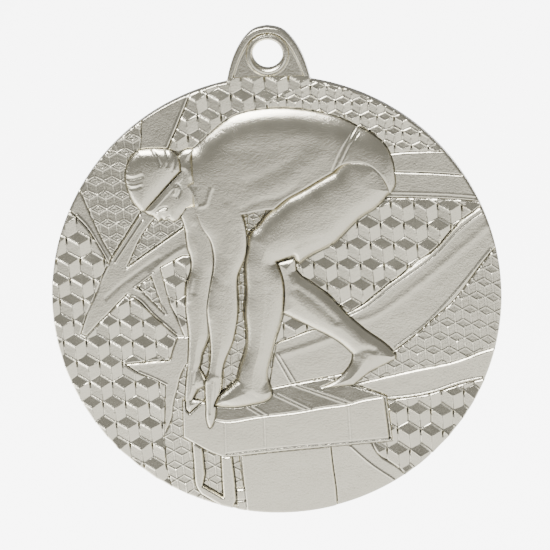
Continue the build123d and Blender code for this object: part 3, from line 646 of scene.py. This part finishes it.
# The soft ridges and, below zero, grooves on each piece: width, height and the line they follow.
MARKS = {
    "trunks": [
        (0.07, -0.04, (9.9, 18.4), (9, 17.2), (8.1, 15.6), (7.75, 14.9)),
        (0.07, 0.03, (9.6, 18.85), (8.6, 17.1), (7.7, 15.3)),
        (0.1, -0.1, (12.55, 12.2), (12, 13.1), (11.3, 13.8), (10.4, 14.5), (9.1, 14.65))],
    "near_leg": [
        (0.35, -0.035, (1.4, 5.5), (3, 6.2), (5.4, 6.9)),
        (0.3, -0.11, (-0.1, 3.95), (1.1, 4.25), (2.2, 4.7)),
        (0.8, 0.05, (-1.6, 6.8), (-1.7, 5.2), (-1.5, 3.4)),
        (0.5, -0.04, (-0.6, 6.9), (-0.5, 5.4), (-0.6, 4.2)),
        (0.7, 0.04, (-2, 1.5), (-2.3, -2), (-2.2, -5)),
        (0.4, -0.03, (-0.9, 1), (-1.3, -2.5), (-1.9, -5.5)),
        (0.3, -0.06, (-1.3, -9.4), (-1.9, -10.3), (-1.8, -11.2)),
        (0.3, 0.06, (-4.6, -9.8), (-5.8, -10.9), (-6.8, -11.6)),
        (0.3, -0.06, (-6.3, -11.9), (-5.8, -12.3)),
        (0.3, -0.05, (-3.9, -10.6), (-2.8, -11.2), (-1.8, -11.7))],
    "near_arm": [
        (0.2, 0.1, (-6.7, 12.9), (-7.15, 11.8), (-7.45, 11), (-8.1, 10.8)),
        (0.18, 0.12, (-9.3, 13), (-8.75, 12), (-8.55, 11.1)),
        (0.5, -0.035, (-6.9, 2.9), (-6.2, 2.2), (-5.4, 1.7)),
        (0.25, 0.08, (-7.9, -9.2), (-7.3, -8.8), (-6.7, -9)),
        (0.6, 0.05, (-5.2, 10.5), (-5, 8), (-5.1, 5.5)),
        (0.3, 0.05, (-7.35, 0.9), (-7.5, -0.6), (-7.35, -2)),
        (0.12, -0.05, (-7.65, -9.6), (-7.65, -11.5), (-7.75, -13)),
        (0.12, -0.05, (-7.1, -9.4), (-7.1, -10.6), (-7.3, -12))],
    "cap": [
        (0.18, -0.12, (-16.3, 14.25), (-15.4, 14.2), (-14.5, 14.45)),
        (0.13, 0.075, (-16.2, 14.65), (-15.4, 14.6), (-14.6, 14.85)),
        (0.16, -0.105, (-16.2, 13.1), (-15.4, 13.05), (-14.7, 13.3)),
        (0.12, 0.06, (-16.1, 13.45), (-15.3, 13.4), (-14.6, 13.6)),
        (0.16, -0.12, (-13.2, 17.3), (-12.7, 16.5), (-12.4, 15.6)),
        (0.16, -0.09, (-11.7, 17.1), (-11.5, 16.3), (-11.6, 15.5)),
        (0.16, -0.075, (-10.7, 16.6), (-10.8, 15.7), (-11.1, 14.9))],
    "torso": [
        (0.9, 0.05, (-1, 12.3), (1.5, 13.4), (3.6, 14.7), (5.7, 16.1)),
        (0.7, -0.04, (-2.5, 13.3), (0.5, 14.6), (3.2, 16.2)),
        (0.1, -0.06, (9.6, 19.1), (8.75, 17.9), (7.65, 16.1), (6.8, 14.3)),
        (0.35, -0.05, (-8.8, 16), (-8.75, 14.5), (-8.6, 13.1)),
        (1.1, 0.04, (-5, 17.8), (-2, 18.6), (2, 18.7), (6, 18)),
        (0.9, -0.03, (-6.5, 17.3), (-3, 16.9), (1, 16.9), (4.5, 17.4)),
        (0.4, -0.04, (-3.4, 10.3), (-1.4, 11.2), (0.6, 11.5), (2.6, 12.6))],
    "far_arm": [
        (0.35, -0.05, (-8.9, 8.4), (-8.6, 5.5), (-8.8, 3), (-9.1, 1)),
        (0.3, 0.07, (-9.3, 2.6), (-9.6, 1.4), (-9.75, 0)),
        (0.12, -0.05, (-9.6, -8.3), (-9.85, -10.4), (-10.1, -12.6)),
        (0.12, -0.05, (-9.1, -8.2), (-9.4, -9.6))],
    "head": [
        (0.13, -0.105, (-12.9, 10.35), (-12.3, 10.75), (-11.9, 10.75)),
        (0.11, 0.09, (-12.95, 10.1), (-12.4, 10.35), (-11.95, 10.35)),
        (0.09, -0.075, (-12.05, 9.45), (-11.6, 9.75)),
        (0.13, -0.09, (-10.6, 11.9), (-10.3, 12.4), (-10.25, 13), (-10.6, 13.4)),
        (0.18, 0.12, (-10.95, 12.3), (-10.85, 12.9)),
        (0.3, -0.07, (-8.85, 16.2), (-8.75, 14.8), (-8.75, 13.2)),
        (0.3, 0.08, (-10, 15.3), (-9.4, 15), (-9.1, 14.2))],
    "rear_leg": [
        (0.4, -0.05, (2.4, 1), (4.6, -0.8), (6.6, -2.9)),
        (0.5, 0.05, (1.8, 0.2), (3.8, -1.8), (6.2, -3.6)),
        (0.35, -0.07, (8.6, -6.6), (9.6, -6.2), (10.6, -6.4)),
        (0.35, 0.05, (9.4, -7.4), (8.6, -8.8), (7.6, -9.8))],
    "block_top": [
        (0.09, 0.05, (-0.7, -11.3), (2.9, -13.1)),
        (0.09, 0.05, (-0.2, -11.1), (3.5, -13.05)),
        (0.09, 0.05, (1, -10.1), (7.3, -12.55)),
        (0.09, 0.05, (1.7, -10.1), (8, -12.4)),
        (0.09, 0.05, (-3.8, -12.5), (-1.8, -13.8)),
        (0.09, 0.05, (-3.2, -12.4), (-1.3, -13.6))],
    "block_front": [
        (0.09, 0.035, (-6.15, -14.3), (-6.15, -18.2)),
        (0.09, 0.035, (-1.8, -13.8), (-1.8, -17.9)),
        (0.09, 0.035, (7.5, -12.6), (7.6, -17.3)),
        (0.09, -0.075, (-6.1, -17.95), (-1.6, -17.55), (2, -17.3), (5, -17.15), (12, -16.65)),
        (0.15, -0.3, (11.55, -12.1), (11.97, -16.8))],
    "pillar": [
        (0.11, -0.15, (-4.55, -18.4), (-4.35, -22)),
        (0.11, -0.15, (5.4, -17.6), (5.6, -20), (5.9, -22.5), (6, -24.5)),
        (0.1, -0.112, (-5.2, -22.2), (-4.3, -22.2)),
        (0.1, -0.112, (-5.3, -23.45), (-4.3, -23.45)),
        (0.1, -0.112, (-4.3, -22.2), (-4.2, -24.6))],
    "right_panel": [(0.11, 0.09, (7.6, -17.7), (10, -19.9), (12.6, -21.5))],
    "knee_panel": [
        (0.4, 0.06, (0.3, -6.7), (3.1, -5.9), (5.9, -5)),
        (0.1, 0.08, (-0.45, -6.7), (1.25, -10.1)),
        (0.1, 0.08, (-0.05, -6.6), (1.75, -9.95)),
        (0.1, 0.15, (-0.2, -5.45), (4.2, -3.9))],
    "upper_band": [(0.13, 0.09, (-8.95, 23.1), (-11.7, 17.4))],
    "rim_band": [
        (0.11, 0.105, (-21.8, 10.2), (-20.7, 8.8), (-19.9, 7.3), (-19.1, 5.8), (-18.5, 4.6))],
    "left_band": [
        (0.1, 0.15, (-14.9, 9.75), (-18.1, 5)),
        (0.1, 0.15, (-14.6, 9.2), (-17.8, 4.6)),
        (0.1, 0.15, (-16.5, 3.8), (-10.1, 8.1)),
        (0.25, -0.035, (-19, 0.5), (-17.5, 1.8), (-16, 2.9), (-13, 4.9)),
        (0.3, 0.05, (-14, 3.2), (-12, 4.8), (-10.2, 5.9)),
        (0.13, 0.105, (-18.7, 4.2), (-19.7, 2.2), (-20.8, -0.2), (-21.7, -3.1)),
        (0.1, 0.12, (-15.75, 1.6), (-13.6, 3.2)),
        (0.1, 0.12, (-15.6, 1.45), (-13.4, 0.2), (-12.3, -1.6)),
        (0.1, 0.12, (-16.5, 0.75), (-15.4, 0.35), (-14, -1.2), (-12.5, -2.7), (-11.3, -3.9))],
    "wedge": [
        (0.1, 0.12, (-16.8, -7.3), (-12.1, -7)),
        (0.1, 0.075, (-12.5, -9.7), (-14, -8.85), (-15.5, -8.15))],
    "hip_upper": [(0.08, -0.12, (13.6, 13.75), (20.9, 13.45))],
    "hip_lower": [
        (0.09, 0.04, (13, 11.05), (22.9, 10.6)),
        (0.09, 0.04, (13, 11.45), (22.9, 11.05))],
    "curved_band": [
        (0.11, 0.15, (7.6, -2.3), (10, -1.15), (12, 0.45), (14, 1.85), (18, 4.8), (20, 7),
         (22.8, 9.5)),
        (0.11, 0.105, (8, -2.6), (10, -1.65), (12, -0.1), (14, 1.3), (18, 4.2), (20, 6.3),
         (23, 9)),
        (0.4, 0.035, (8.8, -3.2), (10, -2.9), (13.6, -0.8), (18, 2.5), (20, 4.2), (22, 6),
         (23.5, 7.6)),
        (0.11, 0.105, (13, -6.3), (16, -4.1), (18.3, -1.9), (20.2, 0.2), (22, 2.4), (23.9, 4.9))],
    "lower_right_band": [
        (0.11, 0.105, (11.9, -12.15), (14, -12), (17.2, -11.4), (19.5, -10.6), (22.6, -9.8)),
        (0.11, 0.07, (8.4, -10.65), (12, -9.85), (16, -9.05), (20, -8.15), (24, -6.6))],
}


def height_of(name, x, z, lines):
    """A piece's height: its own base, its body's dome or the plain ground, and its marks on top."""
    if name in BASES:
        base = BASES[name](x, z, lines)
    else:
        base = bodied(name, x, z, lines) if name in BODIES else GROUND
    return base + bars(x, z, MARKS.get(name, ()))


# ---- materials ----


def fill(tree, slot, value):
    """Link a value to a node's socket, or set it there."""
    if isinstance(value, Socket):
        tree.links.new(value.socket, slot)
    else:
        slot.default_value = value


class Socket:
    """A shader value that Python arithmetic turns into Math nodes."""

    def __init__(self, tree, socket):
        self.tree, self.socket = tree, socket

    def join(self, kind, a, b):
        node = self.tree.nodes.new("ShaderNodeMath")
        node.operation = kind
        fill(self.tree, node.inputs[0], a)
        fill(self.tree, node.inputs[1], b)
        return Socket(self.tree, node.outputs[0])

    def __add__(self, other):
        return self.join("ADD", self, other)

    def __radd__(self, other):
        return self.join("ADD", other, self)

    def __sub__(self, other):
        return self.join("SUBTRACT", self, other)

    def __mul__(self, other):
        return self.join("MULTIPLY", self, other)


class Shader:
    """A node tree, emptied, with one method that adds a node."""

    def __init__(self, tree):
        self.tree = tree
        tree.nodes.clear()

    def node(self, kind, settings=None, sockets=None, out=0):
        """A node's output: its settings are set first, then its sockets by name or number."""
        node = self.tree.nodes.new("ShaderNode" + kind)
        for key, value in (settings or {}).items():
            setattr(node, key, value)
        for key, value in (sockets or {}).items():
            fill(self.tree, node.inputs[key], value)
        return Socket(self.tree, node.outputs[out]) if node.outputs else None

    def mix(self, share, low, high, tint=(1.0, 1.0, 1.0)):
        """From low at 0 to high at 1, each a colour from a node or a share of the tint."""
        low, high = (
            end if isinstance(end, Socket) else (*(end * part for part in tint), 1.0)
            for end in (low, high)
        )
        return self.node("Mix", {"data_type": "RGBA"}, {0: share, 6: low, 7: high}, 2)


def surface(name):
    """A new material and its nodes."""
    material = bpy.data.materials.new(name)
    material.use_nodes = True
    return material, Shader(material.node_tree)


def silver(settings):
    """Satin silver plate: warm grey with fine grain and clouds, a painted highlight on ridges and
    painted shade in crevices.
    """
    material, s = surface("silver_metal")
    place = s.node("TexCoord", out="Object")

    def noise(scale, detail, roughness):
        sockets = {"Vector": place, "Scale": scale, "Detail": detail, "Roughness": roughness}
        return s.node("TexNoise", None, sockets, "Fac")

    fine, cloud = noise(4200.0, 3.0, 0.7), noise(420.0, 2.0, 0.5)
    painted_shading = s.node("Attribute", {"attribute_name": "painted_shading"}, None, "Fac")
    bumps = {"Strength": settings.grain, "Distance": 1e-4, "Height": fine * 0.35 + cloud * 0.65}
    # Painted highlight: ridges lightened up to 1.3 times the plate's colour; the fine grain's tone
    # is the plate's own.
    colour = s.mix(painted_shading, s.mix(fine, 1.0, 0.86, settings.metal_colour), 1.3, settings.metal_colour)
    body = {
        "Metallic": 1.0,
        "Roughness": settings.roughness + (cloud - 0.5) * 0.12 + (fine - 0.5) * 0.1 - painted_shading * 0.08,
        # Painted shade: grooves darkened towards a dark grey.
        "Base Color": s.mix(painted_shading * -1.0, colour, 0.13, (1.0, 1.0, 0.96)),
        "Normal": s.node("Bump", None, bumps),
    }
    s.node("OutputMaterial", None, {"Surface": s.node("BsdfPrincipled", None, body)})
    return material


def pale(settings):
    """The floor: pale and softly alight, brightest behind the medal and under its left half."""
    material, s = surface("floor_white")
    place = {"Vector": s.node("TexCoord", out="Object")}
    right, back = (s.node("SeparateXYZ", None, place, axis) for axis in "XY")
    sideways = s.node("Math", {"operation": "ABSOLUTE"}, {0: right})

    def between(along, first, last, low, high):
        """low where along is below first, high where it is above last."""
        share = s.node("MapRange", None, {"Value": along, "From Min": first, "From Max": last})
        return s.mix(share, low, high)

    slanted, glow = back + right * settings.slant, settings.floor_glow
    front = between(slanted, -settings.floor_front, -0.13, settings.floor_far_glow, glow)
    behind = between(sideways, 0.09, 0.2, settings.backdrop_glow, glow)
    beneath = between(right, -0.035, 0.005, settings.under_glow, front)
    front = between(back, -0.06, -0.02, front, beneath)
    body = {
        "Base Color": (0.3, 0.3, 0.3, 1.0),
        "Roughness": 0.8,
        "Emission Color": between(back, 0.0, 0.07, front, behind),
        "Emission Strength": 1.0,
    }
    s.node("OutputMaterial", None, {"Surface": s.node("BsdfPrincipled", None, body)})
    return material


# ---- the art ----


class Art:
    """The grid over the front and every outline's depth on it, worked out once."""

    made = None

    def __init__(self, settings):
        step = settings.detail
        self.xs = np.arange(-25.3, 25.3 + step, step)
        self.zs = np.arange(-25.3, 31.0 + step, step)
        self.lines = {name: traced(runs) for name, runs in OUTLINES.items()}
        self.gx, self.gz = np.meshgrid(self.xs, self.zs, indexing="ij")
        disc = DISC_RADIUS - np.hypot(self.gx, self.gz)
        loop = self.field("loop")
        tab = np.minimum(loop, LOOP_BASE - self.gz)
        self.ground = np.maximum(np.minimum(disc, LOOP_BASE - self.gz), tab)
        self.loop = np.minimum(loop, self.gz - LOOP_BASE)
        self.loop = np.minimum(self.loop, np.hypot(self.gx, self.gz - HOLE_HEIGHT) - HOLE_RADIUS)
        self.free = self.ground.copy()
        self.seams = np.full(self.free.shape, FAR)
        self.visible, self.seam = {}, {}
        for name in ORDER:
            own = self.field(name)
            self.visible[name] = np.minimum(own, self.free)
            self.seam[name] = np.minimum(np.where(self.ground < FAR, FAR, np.abs(own)), self.seams)
            self.free = np.minimum(self.free, -own)
            self.seams = np.minimum(self.seams, np.abs(own))
        self.material = silver(settings)

    def field(self, name):
        """An outline's depth over the grid, worked out near the outline only."""
        line = self.lines[name]
        low, high = line.min(0) - FAR, line.max(0) + FAR
        i = slice(*np.searchsorted(self.xs, (low[0], high[0])))
        j = slice(*np.searchsorted(self.zs, (low[1], high[1])))
        out = np.full(self.gx.shape, -FAR)
        out[i, j] = np.maximum(depth(self.gx[i, j], self.gz[i, j], line), -FAR)
        return out

    def rim(self, x, z):
        """How far the art falls away beside the disc's edge."""
        roll = 0.22
        inward = np.clip(DISC_RADIUS - np.hypot(x, z), 0, roll)
        fall = roll - np.sqrt(roll * roll - (roll - inward) ** 2)
        return np.where((np.abs(x) < 4.5) & (z > 24), 0, fall)

    def carve(self, name, node, phi, height, seam, moat):
        """One raised piece, standing on the blank's front, in place of its CAD node."""
        i = np.flatnonzero((phi > 0).any(1))
        j = np.flatnonzero((phi > 0).any(0))
        i, j = slice(max(i[0] - 1, 0), i[-1] + 2), slice(max(j[0] - 1, 0), j[-1] + 2)
        piece = carved(
            name + "_relief",
            phi[i, j],
            self.xs[i],
            self.zs[j],
            lambda x, z: height(x, z) - self.rim(x, z),
            BLANK_FRONT,
            self.material,
            seam=seam[i, j],
            moat=moat,
        )
        ship(piece, node)


def ship(piece, node):
    """Put a piece on the medal's one body, in place of its CAD node."""
    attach(piece, "root")
    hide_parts(node)


def art():
    """The art, worked out at first use."""
    if Art.made is None:
        Art.made = Art(bpy.context.scene.sports_medal)
    return Art.made


def raise_pieces(names):
    """The pieces of these outlines, each in place of its node."""
    made = art()
    for name in names:
        lines = [made.lines[name], made.lines["body_swell"]]
        height = partial(height_of, name, lines=lines)
        moat = 0.03 if name in BODIES else MOAT
        made.carve(name, ORDER[name], made.visible[name], height, made.seam[name], moat)


def raise_cubes():
    """The fields of large cubes: what no outline covers, parted by where each field lies."""
    made = art()
    x, z = made.gx, made.gz
    places = {
        "cubes_top": (z > 17) & (x > -13.5) & (x < 5.5),
        "cubes_left": (x < -9) & (z < 14),
        "cubes_between_legs": (x > -1) & (x < 6) & (z < 0) & (z > -11),
        "cubes_lower_right": (x > 7) & (z < -9),
    }
    places["cubes_right"] = (x > 2) & ~np.logical_or.reduce(list(places.values()))
    for node, place in places.items():
        made.carve(node, node, np.where(place, made.free, -FAR), large_cubes, made.seams, MOAT)


def blank_and_loop():
    """The blank under the art with its recessed back, and the pierced loop."""
    made = art()
    coarse = slice(None, None, round(0.18 / bpy.context.scene.sports_medal.detail))

    def blank_back(x, z):
        centre = np.hypot(x, z)
        recess = 0.3 * (1 - ease((centre - 12.1) / 0.6))
        return recess + made.rim(x, z)

    ground, xs, zs = made.ground[coarse, coarse], made.xs[coarse], made.zs[coarse]
    blank = carved("blank", ground, xs, zs, blank_back, BLANK_FRONT, made.material, flip=True)
    ship(blank, "medal_blank")
    outline, field = made.lines["loop"], made.lines["loop_field"]

    def loop_front(x, z):
        r = np.hypot(x, z - HOLE_HEIGHT)
        sunk = ease(depth(x, z, field) / 0.18) * ease((r - 2.2) / 0.16)
        flare = 0.18 * np.clip((1.83 - r) / 0.18, 0, 1)
        edge = 0.18 - 0.18 * swell(depth(x, z, outline), 0.18)
        groove = 0.06 * np.exp(-(((r - 2.12) / 0.1) ** 2))
        return LOOP_FRONT - 0.3 * sunk - flare - edge - groove

    def loop_back(x, z):
        return 0.18 - 0.18 * swell(depth(x, z, outline), 0.18)

    i, j = slice(*np.searchsorted(made.xs, (-5, 5))), slice(*np.searchsorted(made.zs, (24.8, 31)))
    phi, xs, zs = made.loop[i, j], made.xs[i], made.zs[j]
    loop = carved("loop_relief", phi, xs, zs, loop_front, 0, made.material, loop_back)
    ship(loop, "hanging_loop")


# ---- the stage ----


def build_stage(settings):
    """The pale floor, soft light and the camera."""
    scene = bpy.context.scene

    def place(name, data):
        thing = bpy.data.objects.new(name, data)
        scene.collection.objects.link(thing)
        return thing

    low = -MM * (HOLE_HEIGHT + DISC_RADIUS + settings.floor_gap)
    wide, front, back = 2.0, -settings.floor_front, 3.0
    mesh = bpy.data.meshes.new("floor")
    corners = [(-wide, front, low), (wide, front, low), (wide, back, low), (-wide, back, low)]
    mesh.from_pydata(corners, [], [(0, 1, 2, 3)])
    mesh.materials.append(pale(settings))
    place("floor", mesh)

    scene.world = bpy.data.worlds.new("studio")
    scene.world.use_nodes = True
    s = Shader(scene.world.node_tree)
    room = {"Color": (1.0, 0.995, 0.98, 1.0), "Strength": settings.room_light}
    s.node("OutputWorld", None, {"Surface": s.node("Background", None, room)})

    light = bpy.data.lights.new("key_above", "AREA")
    light.shape = "RECTANGLE"
    light.size, light.size_y = 0.5, 0.4
    light.energy = settings.key_light
    lamp = place("key_above", light)
    lamp.location = (-0.15, -0.22, 0.45)
    aim = Vector((0, 0, -0.0276)) - lamp.location
    lamp.rotation_euler = aim.to_track_quat("-Z", "Y").to_euler()

    camera = bpy.data.cameras.new("camera")
    camera.lens, camera.sensor_width = 200, 36
    camera.clip_start, camera.clip_end = 0.01, 20
    eye = place("camera", camera)
    side, up, tilt = math.radians(2.0), math.radians(14.4), math.radians(-2.1)
    target = Vector((-0.00005, -0.0019, MM * (2.83 - HOLE_HEIGHT)))
    way = Vector((math.sin(side) * math.cos(up), -math.cos(side) * math.cos(up), math.sin(up)))
    eye.location = target + way * 0.3386
    turn = (-way).to_track_quat("-Z", "Y").to_matrix().to_4x4()
    eye.rotation_euler = (turn @ Euler((0, 0, tilt)).to_matrix().to_4x4()).to_euler()
    scene.camera = eye


# ---- the add-on ----


class MedalSettings(bpy.types.PropertyGroup):
    """What a user would change: how fine the relief is, the metal and the light."""

    detail: FloatProperty(
        name="Detail",
        description="Grid step of the relief in millimetres",
        default=0.06, min=0.04, max=0.4,
    )
    roughness: FloatProperty(
        name="Roughness", description="Mean roughness of the metal", default=0.24, min=0.05, max=0.9
    )
    grain: FloatProperty(
        name="Grain",
        description="Strength of the metal's fine grain",
        default=0.7, min=0.0, max=1.0,
    )
    metal_colour: FloatVectorProperty(
        name="Metal colour",
        description="Colour of the plate",
        default=(0.66, 0.625, 0.503), subtype="COLOR",
    )
    floor_gap: FloatProperty(
        name="Floor gap", description="Room under the medal in millimetres", default=30.0, min=1.0
    )
    floor_front: FloatProperty(
        name="Floor front",
        description="How far the floor comes forward",
        default=0.3, unit="LENGTH",
    )
    floor_far_glow: FloatProperty(
        name="Floor edge glow",
        description="Light from the floor at its front edge",
        default=0.05, min=0.0,
    )
    floor_glow: FloatProperty(
        name="Floor glow", description="Light from the floor in front", default=1.02, min=0.0
    )
    under_glow: FloatProperty(
        name="Under glow",
        description="Light from the floor under the medal's left",
        default=4.5, min=0.0,
    )
    backdrop_glow: FloatProperty(
        name="Backdrop glow",
        description="Light from the floor straight behind",
        default=7.0, min=0.0,
    )
    slant: FloatProperty(
        name="Slant",
        description="How much further the floor's light comes forward on the right",
        default=1.4,
    )
    room_light: FloatProperty(
        name="Room light", description="Strength of the light all round", default=0.3, min=0.0
    )
    key_light: FloatProperty(
        name="Key light",
        description="Power of the softbox above",
        default=12.5, min=0.0, unit="POWER",
    )


class MEDAL_OT_blank(bpy.types.Operator):
    """Build the blank and the hanging loop"""

    bl_idname = "medal.blank"
    bl_label = "Blank and loop"

    def execute(self, context):
        blank_and_loop()
        return {"FINISHED"}


class MEDAL_OT_swimmer(bpy.types.Operator):
    """Build the swimmer's body pieces"""

    bl_idname = "medal.swimmer"
    bl_label = "Swimmer"

    def execute(self, context):
        raise_pieces(BODIES)
        return {"FINISHED"}


class MEDAL_OT_block(bpy.types.Operator):
    """Build the starting block, its pillar and its step handle"""

    bl_idname = "medal.block"
    bl_label = "Starting block"

    def execute(self, context):
        raise_pieces(("block_top", "block_front", "handle", "pillar", "right_panel", "knee_panel"))
        return {"FINISHED"}


class MEDAL_OT_bands(bpy.types.Operator):
    """Build the plain bands"""

    bl_idname = "medal.bands"
    bl_label = "Plain bands"

    def execute(self, context):
        raise_pieces(("upper_band", "rim_band", "left_band", "wedge"))
        raise_pieces(("hip_upper", "hip_lower", "curved_band", "lower_right_band"))
        return {"FINISHED"}


class MEDAL_OT_fine_cubes(bpy.types.Operator):
    """Build the fields of fine cubes"""

    bl_idname = "medal.fine_cubes"
    bl_label = "Fine cubes"

    def execute(self, context):
        raise_pieces(("hand_gap", "shin_gap", "thigh_gap", "lower_left", "chin", "chin_sliver"))
        raise_pieces(("upper_left", "upper_right", "right_fine"))
        return {"FINISHED"}


class MEDAL_OT_large_cubes(bpy.types.Operator):
    """Build the fields of large cubes"""

    bl_idname = "medal.large_cubes"
    bl_label = "Large cubes"

    def execute(self, context):
        raise_pieces(("small_cubes",))
        raise_cubes()
        return {"FINISHED"}


class MEDAL_OT_stage(bpy.types.Operator):
    """Build the floor, lights and camera"""

    bl_idname = "medal.stage"
    bl_label = "Stage"

    def execute(self, context):
        build_stage(context.scene.sports_medal)
        return {"FINISHED"}


class MEDAL_PT_panel(bpy.types.Panel):
    """The settings and the steps"""

    bl_idname = "MEDAL_PT_panel"
    bl_label = "Sports medal"
    bl_space_type = "VIEW_3D"
    bl_region_type = "UI"
    bl_category = "Medal"

    def draw(self, context):
        settings = context.scene.sports_medal
        for key in MedalSettings.__annotations__:
            self.layout.prop(settings, key)
        for step in STEPS:
            self.layout.operator(step.bl_idname)


STEPS = (
    MEDAL_OT_blank,
    MEDAL_OT_swimmer,
    MEDAL_OT_block,
    MEDAL_OT_bands,
    MEDAL_OT_fine_cubes,
    MEDAL_OT_large_cubes,
    MEDAL_OT_stage,
)


def register():
    """Add the settings, the operators and the panel."""
    bpy.utils.register_class(MedalSettings)
    for step in STEPS:
        bpy.utils.register_class(step)
    bpy.utils.register_class(MEDAL_PT_panel)
    bpy.types.Scene.sports_medal = PointerProperty(type=MedalSettings)


def unregister():
    """Take them away again."""
    del bpy.types.Scene.sports_medal
    bpy.utils.unregister_class(MEDAL_PT_panel)
    for step in reversed(STEPS):
        bpy.utils.unregister_class(step)
    bpy.utils.unregister_class(MedalSettings)


def main():
    """Register the add-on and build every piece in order."""
    register()
    bpy.ops.medal.blank()
    bpy.ops.medal.swimmer()
    bpy.ops.medal.block()
    bpy.ops.medal.bands()
    bpy.ops.medal.fine_cubes()
    bpy.ops.medal.large_cubes()
    bpy.ops.medal.stage()


if __name__ == "__main__":
    main()
